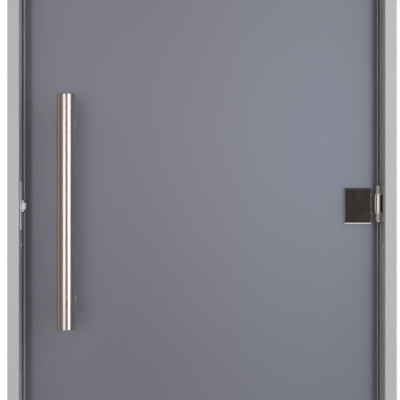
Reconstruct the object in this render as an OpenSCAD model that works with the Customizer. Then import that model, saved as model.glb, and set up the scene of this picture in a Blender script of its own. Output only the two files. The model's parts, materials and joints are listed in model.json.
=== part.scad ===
// Steam room door: a frosted toughened glass leaf in an anodised aluminium frame.
// The leaf hangs on three barrel hinges, opens outwards on a pair of tube handles,
// and is held shut by a sprung roller catch in the opposite jamb.
// X runs across the opening, with the hinges at +X. Y runs from the outer face at -Y
// to the steam room at +Y. The origin is the middle of the threshold's underside.

/* [Frame] */
// Overall width of the frame
frame_w = 690; // [640:5:900]
// Overall height of the frame
frame_h = 1890; // [1800:10:2200]
// Depth of the frame through the wall
frame_d = 60; // [60:1:80]
// Width of the face that each frame profile shows
face_w = 20.5; // [20:0.5:30]
// Wall thickness of the frame profile
frame_wall = 2.2; // [1.8:0.1:2.6]
// Rounding of the profile's two front edges
edge_r = 1; // [0.5:0.5:2]
// Diameter of the holes for the wall screws
fixing_d = 5.5; // [4.5:0.5:7]
// Distance between neighbouring wall screws in a jamb
fixing_pitch = 750; // [600:10:800]
// Height of the middle wall screw
fixing_mid_z = 875; // [850:5:900]
// Length of the legs of the cleats that join the corners
cleat_l = 45; // [35:5:60]
// Width of the cleats through the wall
cleat_w = 40; // [30:1:50]
// Play of the cleats in the profile
cleat_play = 0.3; // [0.1:0.1:0.5]

/* [Door stop] */
// How far the stop stands into the opening
stop_w = 18; // [16:0.5:24]
// Depth of the stop profile
stop_d = 16; // [14:0.5:16]
// Wall thickness of the stop profile
stop_wall = 1.8; // [1.4:0.1:2]
// Width of the groove that holds the seal
groove_w = 3; // [2.5:0.5:4]
// Depth of the seal groove
groove_d = 3; // [2.5:0.5:4]

/* [Glass leaf] */
// Thickness of the glass
glass_t = 8; // [6:1:10]
// Gap between the glass and the lock jamb
lock_gap = 5; // [4.5:0.5:6]
// Gap between the glass and the hinge jamb
hinge_gap = 8; // [7:0.5:8.5]
// Gap above and below the glass
end_gap = 5; // [4:0.5:8]
// Width of the ground arris round the glass
arris = 1; // [0.5:0.25:1.5]
// Space between the glass and the stop, which the seal fills
seal_gap = 5; // [4:0.5:6]
// Gap left between the seal's bulb and the closed glass
seal_clear = 0.5; // [0.4:0.1:0.8]
// Wall thickness of the seal's bulb
seal_wall = 0.8; // [0.6:0.1:1.2]
// Width of the seal's foot
seal_foot_w = 7; // [6:0.5:9]
// Thickness of the seal's foot
seal_foot_t = 1; // [0.8:0.1:1.4]
// Play of the seal's root in its groove
root_play = 0.2; // [0.1:0.05:0.4]

/* [Hinges] */
// Distance from the frame's end to the middle of the end hinges' glass plates
hinge_end = 200; // [150:5:300]
// Width of the plates that clamp the glass, outside
plate_w = 50; // [45:1:56]
// Width of the plates that clamp the glass, room side
back_plate_w = 45; // [40:1:50]
// Gap between the room side plates and the stop
stop_clear = 5; // [4:0.5:8]
// Height of the plates that clamp the glass
plate_h = 64.5; // [60:0.5:80]
// Thickness of the clamp plates
plate_t = 6; // [5:0.5:6.5]
// Width of the bevel round a clamp plate
plate_bevel = 2.4; // [1:0.2:3]
// Depth of that bevel in the plate's thickness
plate_bevel_t = 1.4; // [0.8:0.1:2.4]
// Distance that the clamp plates sit below the middle of the barrel
plate_drop = 4; // [0:0.5:6]
// Thickness of the pads between plate and glass
pad_t = 1; // [0.5:0.25:2]
// Distance between the two clamp screws
clamp_pitch = 34; // [28:1:40]
// Diameter of the clamp screws' clearance holes
clamp_d = 6.5; // [5.5:0.5:7]
// Diameter of the clamp screws' countersinks
clamp_sink_d = 12.5; // [11:0.5:13]
// Diameter of the holes in the glass for the clamp screws
clamp_hole_d = 14; // [12:1:16]
// Diameter of the tapped holes for the clamp screws
tap_d = 5; // [4:0.5:6]
// Depth of those tapped holes
tap_depth = 4; // [3:0.25:4.5]
// Outer diameter of the hinge barrel
barrel_d = 9; // [8:0.5:10]
// Diameter of the hinge pin
pin_d = 5; // [4:0.25:5.5]
// Radial play of the moving knuckle on the pin
pin_play = 0.05; // [0.03:0.01:0.08]
// Length of the moving knuckle
mid_knuckle = 31; // [30:1:40]
// Distance that the tongue to that knuckle lies behind the clamp plate's face
tongue_set = 1; // [0.6:0.1:1.4]
// Thickness of the tongue
tongue_t = 3.5; // [2.5:0.25:4]
// Width of the neck that joins the knuckle to the tongue's end
neck_w = 6; // [4:0.5:7]
// Length of each fixed knuckle
end_knuckle = 14; // [12:0.5:16]
// Diameter of the washers between the knuckles
washer_d = 14; // [12:0.5:15]
// Thickness of those washers
washer_t = 2; // [0.6:0.2:2.4]
// Thickness of the leaf that is screwed to the jamb
leaf_t = 2; // [1.5:0.25:2.5]
// Width of that leaf, through the wall
leaf_w = 32; // [28:1:36]
// Distance that the leaf's middle lies behind the barrel's axis
leaf_set = 4; // [2:0.5:5]
// Thickness of the webs that carry the fixed knuckles
web_t = 4; // [3:0.25:4.25]
// Gap between the washers and the leaf, and between the washers and the glass
washer_clear = 0.3; // [0.2:0.1:0.5]
// Extra distance between the washers and the glass
pin_standoff = 2.7; // [2:0.1:4]
// Diameter of the hinge pin's heads
pin_head_d = 8; // [7:0.5:8]
// Thickness of the hinge pin's heads
pin_head_t = 1; // [0.8:0.2:2]
// Diameter of the screws that fix a leaf to the jamb
leaf_screw_d = 4.2; // [3.5:0.1:5]
// Distance of those screws from the leaf's upper and lower ends
leaf_screw_end = 8; // [7:0.5:10]
// Distance of those screws from the leaf's edge on the room side
leaf_screw_edge = 7; // [6:0.5:9]

/* [Handles] */
// Length of each handle tube
handle_l = 412; // [380:2:600]
// Outer diameter of the handle tubes
handle_d = 32; // [25:1:38]
// Wall thickness of the handle tubes
handle_wall = 1.5; // [1:0.25:3]
// Rounding of the handle tubes' ends, as a 45 degree chamfer
handle_end = 0.8; // [0.4:0.2:1.5]
// Height of the middle of the handles
handle_z = 935; // [900:5:1100]
// Distance between the two posts of a handle
post_pitch = 310; // [260:5:340]
// Diameter of the posts
post_d = 18; // [16:1:20]
// Diameter of a post's foot on the glass
foot_d = 26; // [24:1:30]
// Thickness of that foot
foot_t = 4; // [3:0.5:6]
// Width of the bevel round that foot
foot_bevel = 1; // [0.5:0.25:1.5]
// Distance from the glass to the middle of the tube
handle_out = 59; // [50:1:70]
// Distance from the glass's lock edge to the handles
handle_inset = 81.5; // [60:0.5:100]
// Diameter of the handle holes in the glass
handle_hole_d = 14; // [12:1:16]
// Diameter of the studs that draw the two handles together
stud_d = 8; // [6:1:8]
// Depth of a stud in its post
stud_grip = 14; // [10:1:16]
// Thickness of the grommet's collar between foot and glass
collar_t = 1; // [0.5:0.25:1.5]
// Distance that the collar stays inside the foot's edge
collar_inset = 1; // [0.5:0.25:2]
// Radial play of the grommet in the glass, and of the stud in the grommet
grommet_play = 0.2; // [0.1:0.05:0.4]

/* [Roller catch] */
// Height of the catch
catch_z = 945; // [920:5:980]
// Height of the catch's face plate
catch_plate_h = 86; // [80:2:100]
// Width of the catch's face plate
catch_plate_w = 20; // [19:0.5:24]
// Thickness of the catch's face plate
catch_plate_t = 1.5; // [1:0.25:2]
// Distance between the face plate's screws
catch_screw_pitch = 68; // [60:1:74]
// Diameter of the face plate's screw holes
face_screw_d = 3.6; // [3.2:0.1:4]
// Diameter of the countersinks of those holes
face_sink_d = 6.6; // [6:0.2:7.4]
// Diameter of the roller
roller_d = 14; // [13:0.5:15]
// Height of the roller
roller_h = 12.5; // [10:0.5:14]
// Width of the bevel round the roller's ends
roller_bevel = 1; // [0.5:0.25:1.5]
// How far the roller stands out of the jamb
roller_out = 9.5; // [9:0.5:10]
// Travel of the roller into the jamb
roller_travel = 6.5; // [5.5:0.25:7]
// Gap between the closed glass and the roller
roller_clear = 0.3; // [0.2:0.1:0.5]
// Diameter of the roller's axle
axle_d = 4; // [3:0.25:4.5]
// Radial play of the roller on its axle
axle_play = 0.05; // [0.03:0.01:0.08]
// Diameter of the axle's heads
axle_head_d = 6; // [5.5:0.25:6.5]
// Thickness of the axle's heads
axle_head_t = 0.8; // [0.4:0.1:1]
// Thickness of the fork's two ears
ear_t = 3; // [2:0.25:3.5]
// Width of the fork's ears, which end in a half round
ear_w = 7; // [6.5:0.25:8]
// Gap between the roller and each ear
ear_gap = 0.4; // [0.2:0.1:0.6]
// Thickness of the fork's back
fork_t = 3; // [2:0.25:3.5]
// Gap between the roller and the fork's back
fork_gap = 1; // [0.5:0.25:1.25]
// Wall thickness of the catch's case
case_wall = 1; // [0.8:0.1:1.2]
// Sliding gap round the fork and the roller in the case
slide_gap = 0.5; // [0.3:0.1:0.6]
// Play of the case in the jamb's mortise
mortise_play = 0.1; // [0.05:0.05:0.3]

/* [Hidden] */
$fn = 64;
// How far a cut runs past what it cuts
over = 1;
// How far a countersink starts in front of its face
eps = 0.01;
// Depth of a screw's thread in the metal that holds it
thread = 0.4;

// Planes of the frame
front_y = -frame_d / 2;
back_y = frame_d / 2;
reveal_x = frame_w / 2 - face_w;
mitre_reach = face_w + stop_w + over;

// Planes of the stop and the glass
stop_front_y = back_y - stop_d;
groove_u = face_w + stop_w * 2 / 3;
glass_back_y = stop_front_y - seal_gap;
glass_front_y = glass_back_y - glass_t;
glass_lock_x = lock_gap - reveal_x;
glass_hinge_x = reveal_x - hinge_gap;
glass_bottom_z = face_w + end_gap;
glass_top_z = frame_h - face_w - end_gap;

// Hinge axis, and the hinge's own planes measured from it
axis_x = reveal_x - leaf_t - washer_clear - washer_d / 2;
axis_y = glass_front_y - pin_standoff - washer_clear - washer_d / 2;
to_reveal = reveal_x - axis_x;
to_glass = glass_front_y - axis_y;
stop_edge = axis_x - (reveal_x - stop_w);
clamp_x = stop_edge + stop_clear + back_plate_w / 2;
plate_edge = clamp_x - plate_w / 2;
barrel_h = mid_knuckle + 2 * (washer_t + end_knuckle);
leaf_front = leaf_set - leaf_w / 2;
leaf_screw_y = leaf_front + leaf_w - leaf_screw_edge;
leaf_screw_z = barrel_h / 2 - leaf_screw_end;
upper_z = frame_h - hinge_end + plate_drop;
middle_z = frame_h / 2 + plate_drop;
lower_z = hinge_end + plate_drop;

// Handles
handle_x = glass_lock_x + handle_inset;
post_zs = [handle_z - post_pitch / 2, handle_z + post_pitch / 2];

// Catch: the roller bears on the glass's arris well off its centre line, so that a
// pull on the door rolls it back into the jamb
roller_x = roller_out - roller_d / 2 - reveal_x;
cam_offset = glass_lock_x + arris - roller_x;
cam_depth = sqrt(pow(roller_d / 2, 2) - pow(cam_offset, 2));
roller_y = glass_front_y - cam_depth - roller_clear;
fork_back_x = roller_x - roller_d / 2 - fork_gap - fork_t;
fork_h = roller_h + 2 * (ear_gap + ear_t);
slot_w = roller_d + 2 * slide_gap;
slot_h = fork_h + 2 * (axle_head_t + slide_gap);
case_back_x = fork_back_x - roller_travel - slide_gap - case_wall;
fixing_zs = [fixing_mid_z - fixing_pitch, fixing_mid_z, fixing_mid_z + fixing_pitch];
fixing_y = roller_y;

// ---- Frame profiles, drawn with X from the outer side inwards and Y as depth ----

module corner_waste(r) {
    difference() {
        translate([-over, -over]) square(r + over);
        translate([r, r]) circle(r);
    }
}

module frame_profile() {
    difference() {
        translate([0, front_y]) square([face_w, frame_d]);
        translate([0, front_y]) corner_waste(edge_r);
        translate([face_w, front_y]) mirror([1, 0]) corner_waste(edge_r);
        translate([frame_wall, front_y + frame_wall])
            square([face_w - 2 * frame_wall, frame_d - 2 * frame_wall]);
    }
}

module stop_profile() {
    difference() {
        translate([face_w, stop_front_y]) square([stop_w, stop_d]);
        difference() {
            translate([face_w + stop_wall, stop_front_y + stop_wall])
                square([stop_w - 2 * stop_wall, stop_d - 2 * stop_wall]);
            translate([groove_u - groove_w / 2 - stop_wall, stop_front_y])
                square([groove_w + 2 * stop_wall, groove_d + stop_wall]);
        }
        translate([groove_u - groove_w / 2, stop_front_y - over])
            square([groove_w, groove_d + over]);
    }
}

// Bulb seal: a hollow round bulb on a flat foot, with a root in the stop's groove
module seal_profile() {
    bulb_r = (seal_gap - seal_clear) / 2;
    root_w = groove_w - 2 * root_play;
    root_d = groove_d - 2 * root_play;
    translate([groove_u, stop_front_y]) difference() {
        union() {
            translate([0, -bulb_r]) circle(bulb_r);
            translate([-seal_foot_w / 2, -seal_foot_t]) square([seal_foot_w, seal_foot_t]);
            translate([-root_w / 2, -seal_foot_t]) square([root_w, seal_foot_t + root_d]);
        }
        translate([0, -bulb_r]) circle(bulb_r - seal_wall);
    }
}

// One straight run of a profile along a side of the opening
module straight_run(side) {
    if (side == "lock") {
        linear_extrude(frame_h) translate([-frame_w / 2, 0]) children();
    } else if (side == "hinge") {
        mirror([1, 0, 0]) linear_extrude(frame_h) translate([-frame_w / 2, 0]) children();
    } else if (side == "threshold") {
        rotate([0, -90, 0]) linear_extrude(frame_w, center = true) children();
    } else {
        translate([0, 0, frame_h]) mirror([0, 0, 1])
            rotate([0, -90, 0]) linear_extrude(frame_w, center = true) children();
    }
}

// The space that one side keeps once its corners are cut to 45 degrees
module mitre_space(side) {
    w = frame_w / 2;
    m = mitre_reach;
    upright = side == "lock" || side == "hinge";
    s = side == "hinge" || side == "head" ? 1 : -1;
    shape = upright
        ? [[s * w, 0], [s * w, frame_h], [s * (w - m), frame_h - m], [s * (w - m), m]]
        : s > 0
            ? [[-w, frame_h], [w, frame_h], [w - m, frame_h - m], [m - w, frame_h - m]]
            : [[-w, 0], [w, 0], [w - m, m], [m - w, m]];
    rotate([90, 0, 0]) linear_extrude(frame_d + 2 * over, center = true) polygon(shape);
}

module mitred_run(side) {
    intersection() {
        straight_run(side) children();
        mitre_space(side);
    }
}

// ---- Frame members ----

module wall_fixings(side) {
    for (z = fixing_zs)
        translate([side * (frame_w / 2 - face_w / 2), fixing_y, z])
            rotate([0, 90, 0]) cylinder(d = fixing_d, h = face_w + 2 * over, center = true);
}

module catch_mortise() {
    mortise_w = slot_w + 2 * (case_wall + mortise_play);
    mortise_h = slot_h + 2 * (case_wall + mortise_play);
    translate([-reveal_x - frame_wall - over, roller_y - mortise_w / 2, catch_z - mortise_h / 2])
        cube([frame_wall + 2 * over, mortise_w, mortise_h]);
    for (s = [-1, 1])
        translate([-reveal_x, roller_y, catch_z + s * catch_screw_pitch / 2])
            rotate([0, 90, 0])
                cylinder(d = face_screw_d - 2 * thread, h = 3 * frame_wall, center = true);
}

module leaf_screw_holes(z) {
    for (s = [-1, 1])
        translate([reveal_x, axis_y + leaf_screw_y, z + s * leaf_screw_z])
            rotate([0, 90, 0])
                cylinder(d = leaf_screw_d - 2 * thread, h = 3 * frame_wall, center = true);
}

module lock_jamb() {
    color("silver") difference() {
        mitred_run("lock") frame_profile();
        wall_fixings(-1);
        catch_mortise();
    }
}

module hinge_jamb() {
    color("silver") difference() {
        mitred_run("hinge") frame_profile();
        wall_fixings(1);
        for (z = [lower_z, middle_z, upper_z]) leaf_screw_holes(z);
    }
}

module head() {
    color("silver") mitred_run("head") frame_profile();
}

module threshold() {
    color("silver") mitred_run("threshold") frame_profile();
}

// An L-shaped cleat sits in the profile at each corner, against its outer walls
module corner_cleats() {
    cleat_t = face_w - 2 * frame_wall - cleat_play;
    color("silver") for (x = [0, 1], z = [0, 1])
        mirror([x, 0, 0]) translate([0, 0, z * frame_h]) mirror([0, 0, z])
            translate([frame_wall - frame_w / 2, 0, frame_wall])
                rotate([90, 0, 0]) linear_extrude(cleat_w, center = true) polygon([
                    [0, 0], [cleat_l, 0], [cleat_l, cleat_t],
                    [cleat_t, cleat_t], [cleat_t, cleat_l], [0, cleat_l]
                ]);
}

module lock_stop() {
    color("silver") mitred_run("lock") stop_profile();
}

module hinge_stop() {
    color("silver") mitred_run("hinge") stop_profile();
}

module head_stop() {
    color("silver") mitred_run("head") stop_profile();
}

module threshold_stop() {
    color("silver") mitred_run("threshold") stop_profile();
}

module lock_seal() {
    color("dimgray") mitred_run("lock") seal_profile();
}

module hinge_seal() {
    color("dimgray") mitred_run("hinge") seal_profile();
}

module head_seal() {
    color("dimgray") mitred_run("head") seal_profile();
}

module threshold_seal() {
    color("dimgray") mitred_run("threshold") seal_profile();
}

// ---- Glass leaf ----

// A sheet of w by h whose edges have an arris on both faces
module ground_sheet(w, h, t, a) {
    intersection() {
        linear_extrude(h) polygon([
            [a, 0], [w - a, 0], [w, a], [w, t - a], [w - a, t], [a, t], [0, t - a], [0, a]
        ]);
        rotate([90, 0, 90]) linear_extrude(w) polygon([
            [a, 0], [t - a, 0], [t, a], [t, h - a], [t - a, h], [a, h], [0, h - a], [0, a]
        ]);
    }
}

module through_glass(x, z, d) {
    translate([x, (glass_front_y + glass_back_y) / 2, z])
        rotate([90, 0, 0]) cylinder(d = d, h = glass_t + 2 * over, center = true);
}

module glass_leaf() {
    color("slategray") difference() {
        translate([glass_lock_x, glass_front_y, glass_bottom_z])
            ground_sheet(
                glass_hinge_x - glass_lock_x, glass_top_z - glass_bottom_z, glass_t, arris
            );
        for (z = [lower_z, middle_z, upper_z], s = [-1, 1])
            through_glass(axis_x - clamp_x, z - plate_drop + s * clamp_pitch / 2, clamp_hole_d);
        for (z = post_zs) through_glass(handle_x, z, handle_hole_d);
    }
}

// ---- Hinges, drawn about the axis of the barrel ----

module at_hinge(z) {
    translate([axis_x, axis_y, z]) children();
}

module hinge_leaf(z) {
    color("gray") at_hinge(z) difference() {
        union() {
            translate([to_reveal - leaf_t, leaf_front, -barrel_h / 2])
                cube([leaf_t, leaf_w, barrel_h]);
            for (start = [-barrel_h / 2, barrel_h / 2 - end_knuckle])
                translate([0, 0, start]) {
                    cylinder(d = barrel_d, h = end_knuckle);
                    translate([0, barrel_d / 2 - web_t, 0])
                        cube([to_reveal - leaf_t / 2, web_t, end_knuckle]);
                }
        }
        cylinder(d = pin_d, h = barrel_h + 2 * over, center = true);
        for (s = [-1, 1])
            translate([to_reveal - leaf_t, leaf_screw_y, s * leaf_screw_z])
                rotate([0, 90, 0]) {
                    translate([0, 0, -over]) cylinder(d = leaf_screw_d, h = leaf_t + 2 * over);
                    translate([0, 0, -eps])
                        cylinder(d1 = 2 * leaf_screw_d, d2 = leaf_screw_d, h = leaf_t);
                }
    }
}

module hinge_pin(z) {
    color("silver") at_hinge(z) {
        cylinder(d = pin_d, h = barrel_h + pin_head_t, center = true);
        for (s = [-1, 1])
            translate([0, 0, s * (barrel_h + pin_head_t) / 2])
                cylinder(d = pin_head_d, h = pin_head_t, center = true);
    }
}

module hinge_washers(z) {
    color("silver") at_hinge(z)
        for (s = [-1, 1])
            translate([0, 0, s * (mid_knuckle + washer_t) / 2]) difference() {
                cylinder(d = washer_d, h = washer_t, center = true);
                cylinder(d = pin_d, h = washer_t + 2 * over, center = true);
            }
}

// A clamp plate w wide whose front edges are bevelled, with its front face at y = 0
module bevelled_plate(w) {
    h = plate_h;
    t = plate_t;
    b = plate_bevel;
    d = plate_bevel_t;
    intersection() {
        translate([0, 0, -h / 2]) linear_extrude(h)
            polygon([[b, 0], [w - b, 0], [w, d], [w, t], [0, t], [0, d]]);
        rotate([90, 0, 90]) linear_extrude(w) polygon([
            [0, b - h / 2], [d, -h / 2], [t, -h / 2], [t, h / 2], [d, h / 2], [0, h / 2 - b]
        ]);
    }
}

module hinge_front_plate(z) {
    plate_front = to_glass - pad_t - plate_t;
    plate_back = to_glass - pad_t;
    tongue_front = plate_front + tongue_set;
    tongue_back = tongue_front + tongue_t;
    tongue_h = mid_knuckle - washer_t;
    color("gray") at_hinge(z) difference() {
        union() {
            translate([-plate_edge - plate_w, plate_front, -plate_drop])
                bevelled_plate(plate_w);
            translate([0, 0, -mid_knuckle / 2]) cylinder(d = barrel_d, h = mid_knuckle);
            linear_extrude(tongue_h, center = true) polygon([
                [-plate_edge - plate_bevel, tongue_front], [-neck_w / 2, tongue_front],
                [-neck_w / 2, 0], [neck_w / 2, 0], [neck_w / 2, (tongue_front + tongue_back) / 2],
                [0, tongue_back], [-plate_edge - plate_bevel, tongue_back]
            ]);
        }
        cylinder(d = pin_d + 2 * pin_play, h = mid_knuckle + 2 * over, center = true);
        for (s = [-1, 1])
            translate([-clamp_x, plate_back - tap_depth, s * clamp_pitch / 2 - plate_drop])
                rotate([-90, 0, 0]) cylinder(d = tap_d, h = tap_depth + over);
    }
}

module hinge_back_plate(z) {
    plate_far = to_glass + glass_t + pad_t + plate_t;
    color("gray") at_hinge(z) translate([0, plate_far, -plate_drop]) difference() {
        translate([back_plate_w / 2 - clamp_x, 0, 0]) rotate([0, 0, 180])
            bevelled_plate(back_plate_w);
        for (s = [-1, 1])
            translate([-clamp_x, 0, s * clamp_pitch / 2]) rotate([90, 0, 0]) {
                translate([0, 0, -over]) cylinder(d = clamp_d, h = plate_t + 2 * over);
                translate([0, 0, -eps]) cylinder(
                    d1 = clamp_sink_d, d2 = clamp_d, h = (clamp_sink_d - clamp_d) / 2
                );
            }
    }
}

module hinge_pads(z) {
    inset = plate_bevel;
    pad_w = back_plate_w - 2 * inset;
    color("black") at_hinge(z)
        for (y = [to_glass - pad_t, to_glass + glass_t]) difference() {
            translate([-clamp_x - pad_w / 2, y, -plate_drop - plate_h / 2 + inset])
                cube([pad_w, pad_t, plate_h - 2 * inset]);
            for (s = [-1, 1])
                translate([-clamp_x, y - over, s * clamp_pitch / 2 - plate_drop])
                    rotate([-90, 0, 0]) cylinder(d = clamp_hole_d, h = pad_t + 2 * over);
        }
}

module upper_hinge_leaf() {
    hinge_leaf(upper_z);
}

module middle_hinge_leaf() {
    hinge_leaf(middle_z);
}

module lower_hinge_leaf() {
    hinge_leaf(lower_z);
}

module upper_hinge_pin() {
    hinge_pin(upper_z);
}

module middle_hinge_pin() {
    hinge_pin(middle_z);
}

module lower_hinge_pin() {
    hinge_pin(lower_z);
}

module upper_hinge_washers() {
    hinge_washers(upper_z);
}

module middle_hinge_washers() {
    hinge_washers(middle_z);
}

module lower_hinge_washers() {
    hinge_washers(lower_z);
}

module upper_hinge_front_plate() {
    hinge_front_plate(upper_z);
}

module middle_hinge_front_plate() {
    hinge_front_plate(middle_z);
}

module lower_hinge_front_plate() {
    hinge_front_plate(lower_z);
}

module upper_hinge_back_plate() {
    hinge_back_plate(upper_z);
}

module middle_hinge_back_plate() {
    hinge_back_plate(middle_z);
}

module lower_hinge_back_plate() {
    hinge_back_plate(lower_z);
}

module upper_hinge_pads() {
    hinge_pads(upper_z);
}

module middle_hinge_pads() {
    hinge_pads(middle_z);
}

module lower_hinge_pads() {
    hinge_pads(lower_z);
}

// ---- Handles. The room side's is the outer one turned about the glass ----

// Puts a piece, drawn with the glass at y = 0 and the handle towards -Y, on a face
module on_glass(side) {
    if (side == "outer") {
        translate([handle_x, glass_front_y, 0]) children();
    } else {
        translate([handle_x, glass_back_y, 0]) mirror([0, 1, 0]) children();
    }
}

module handle_tube(side) {
    r = handle_d / 2;
    color("silver") on_glass(side) translate([0, -handle_out, handle_z - handle_l / 2])
        difference() {
            rotate_extrude() polygon([
                [0, 0], [r - handle_end, 0], [r, handle_end],
                [r, handle_l - handle_end], [r - handle_end, handle_l], [0, handle_l]
            ]);
            translate([0, 0, handle_wall])
                cylinder(r = r - handle_wall, h = handle_l - 2 * handle_wall);
        }
}

module handle_posts(side) {
    color("silver") on_glass(side) for (z = post_zs) difference() {
        translate([0, -collar_t, z]) rotate([90, 0, 0]) rotate_extrude() polygon([
            [0, 0], [foot_d / 2, 0],
            [foot_d / 2, foot_t - foot_bevel], [foot_d / 2 - foot_bevel, foot_t],
            [post_d / 2, foot_t], [post_d / 2, handle_out - collar_t], [0, handle_out - collar_t]
        ]);
        translate([0, -handle_out, z]) cylinder(d = handle_d, h = 2 * foot_d, center = true);
        translate([0, 0, z]) rotate([90, 0, 0]) cylinder(d = stud_d, h = collar_t + stud_grip);
    }
}

module outer_handle() {
    handle_tube("outer");
}

module inner_handle() {
    handle_tube("inner");
}

module outer_posts() {
    handle_posts("outer");
}

module inner_posts() {
    handle_posts("inner");
}

module handle_grommets() {
    sleeve_l = glass_t + 2 * collar_t;
    collar_d = foot_d - 2 * collar_inset;
    color("white") for (z = post_zs)
        translate([handle_x, glass_back_y + collar_t, z]) rotate([90, 0, 0]) difference() {
            union() {
                cylinder(d = handle_hole_d - 2 * grommet_play, h = sleeve_l);
                for (from = [0, sleeve_l - collar_t])
                    translate([0, 0, from]) cylinder(d = collar_d, h = collar_t);
            }
            translate([0, 0, -over])
                cylinder(d = stud_d + 2 * grommet_play, h = sleeve_l + 2 * over);
        }
}

module handle_studs() {
    stud_l = glass_t + 2 * (collar_t + stud_grip);
    color("gray") for (z = post_zs)
        translate([handle_x, (glass_front_y + glass_back_y) / 2, z])
            rotate([90, 0, 0]) cylinder(d = stud_d, h = stud_l, center = true);
}

// ---- Roller catch ----

module at_catch() {
    translate([0, roller_y, catch_z]) children();
}

module catch_face_plate() {
    color("gainsboro") at_catch() difference() {
        translate([-reveal_x, -catch_plate_w / 2, -catch_plate_h / 2])
            cube([catch_plate_t, catch_plate_w, catch_plate_h]);
        translate([-reveal_x - over, -slot_w / 2, -slot_h / 2])
            cube([catch_plate_t + 2 * over, slot_w, slot_h]);
        for (s = [-1, 1])
            translate([-reveal_x + catch_plate_t, 0, s * catch_screw_pitch / 2])
                rotate([0, -90, 0]) {
                    translate([0, 0, -over])
                        cylinder(d = face_screw_d, h = catch_plate_t + 2 * over);
                    translate([0, 0, -eps])
                        cylinder(d1 = face_sink_d, d2 = face_screw_d, h = catch_plate_t);
                }
    }
}

module catch_case() {
    case_d = -reveal_x - case_back_x;
    color("silver") at_catch() difference() {
        translate([case_back_x, -slot_w / 2 - case_wall, -slot_h / 2 - case_wall])
            cube([case_d, slot_w + 2 * case_wall, slot_h + 2 * case_wall]);
        translate([case_back_x + case_wall, -slot_w / 2, -slot_h / 2])
            cube([case_d, slot_w, slot_h]);
    }
}

// Fork: a back block that slides in the case, and two round-nosed ears for the axle
module catch_fork() {
    fork_w = slot_w - 2 * slide_gap;
    color("gainsboro") at_catch() difference() {
        union() {
            translate([fork_back_x, -fork_w / 2, -fork_h / 2]) cube([fork_t, fork_w, fork_h]);
            for (z = [-fork_h / 2, fork_h / 2 - ear_t]) translate([0, 0, z]) {
                translate([fork_back_x, -ear_w / 2, 0])
                    cube([roller_x - fork_back_x, ear_w, ear_t]);
                translate([roller_x, 0, 0]) cylinder(d = ear_w, h = ear_t);
            }
        }
        translate([roller_x, 0, 0]) cylinder(d = axle_d, h = fork_h + 2 * over, center = true);
    }
}

module catch_axle() {
    color("silver") at_catch() translate([roller_x, 0, 0]) {
        cylinder(d = axle_d, h = fork_h + axle_head_t, center = true);
        for (s = [-1, 1])
            translate([0, 0, s * (fork_h + axle_head_t) / 2])
                cylinder(d = axle_head_d, h = axle_head_t, center = true);
    }
}

module catch_roller() {
    r = roller_d / 2;
    edge = roller_bevel;
    bore_r = axle_d / 2 + axle_play;
    color("gainsboro") at_catch() translate([roller_x, 0, -roller_h / 2])
        rotate_extrude() polygon([
            [bore_r, 0], [r - edge, 0], [r, edge],
            [r, roller_h - edge], [r - edge, roller_h], [bore_r, roller_h]
        ]);
}

lock_jamb();
hinge_jamb();
head();
threshold();
corner_cleats();
lock_stop();
hinge_stop();
head_stop();
threshold_stop();
lock_seal();
hinge_seal();
head_seal();
threshold_seal();
glass_leaf();
upper_hinge_leaf();
middle_hinge_leaf();
lower_hinge_leaf();
upper_hinge_pin();
middle_hinge_pin();
lower_hinge_pin();
upper_hinge_washers();
middle_hinge_washers();
lower_hinge_washers();
upper_hinge_front_plate();
middle_hinge_front_plate();
lower_hinge_front_plate();
upper_hinge_back_plate();
middle_hinge_back_plate();
lower_hinge_back_plate();
upper_hinge_pads();
middle_hinge_pads();
lower_hinge_pads();
outer_handle();
outer_posts();
inner_handle();
inner_posts();
handle_grommets();
handle_studs();
catch_face_plate();
catch_case();
catch_fork();
catch_axle();
catch_roller();
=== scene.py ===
import json
import math

import bpy
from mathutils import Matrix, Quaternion, Vector


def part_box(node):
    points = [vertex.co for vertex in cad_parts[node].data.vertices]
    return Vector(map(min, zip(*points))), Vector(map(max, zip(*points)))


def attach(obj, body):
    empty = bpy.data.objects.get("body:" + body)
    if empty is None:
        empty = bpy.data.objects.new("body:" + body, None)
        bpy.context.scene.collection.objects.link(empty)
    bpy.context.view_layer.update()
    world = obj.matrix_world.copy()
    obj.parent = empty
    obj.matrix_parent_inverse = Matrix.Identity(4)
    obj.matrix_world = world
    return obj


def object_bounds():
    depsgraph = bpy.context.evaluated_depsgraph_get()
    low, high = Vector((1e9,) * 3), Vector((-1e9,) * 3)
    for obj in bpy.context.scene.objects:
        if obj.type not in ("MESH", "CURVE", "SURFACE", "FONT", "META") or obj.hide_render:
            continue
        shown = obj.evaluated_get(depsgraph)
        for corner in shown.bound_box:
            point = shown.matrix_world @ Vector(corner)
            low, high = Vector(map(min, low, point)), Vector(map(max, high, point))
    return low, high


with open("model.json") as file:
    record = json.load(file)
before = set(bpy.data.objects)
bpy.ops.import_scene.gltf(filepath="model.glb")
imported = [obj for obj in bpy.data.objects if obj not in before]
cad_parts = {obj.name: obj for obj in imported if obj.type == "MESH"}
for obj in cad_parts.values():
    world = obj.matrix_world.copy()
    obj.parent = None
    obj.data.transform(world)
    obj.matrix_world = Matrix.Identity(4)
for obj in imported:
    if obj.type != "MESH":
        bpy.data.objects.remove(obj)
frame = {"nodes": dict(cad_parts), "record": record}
cad_low, cad_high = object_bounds()
mm = 0.001

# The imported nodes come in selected, and an operator acts on all that is selected
bpy.ops.object.select_all(action="DESELECT")


# ---- Frame -----------------------------------------------------------------------------
# Two jambs, a head and a threshold, all cut from one hollow aluminium extrusion, etched
# and anodised in its natural silver colour. They meet in mitres, drawn together by cleats
# that are driven into the profile at each corner.

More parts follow.
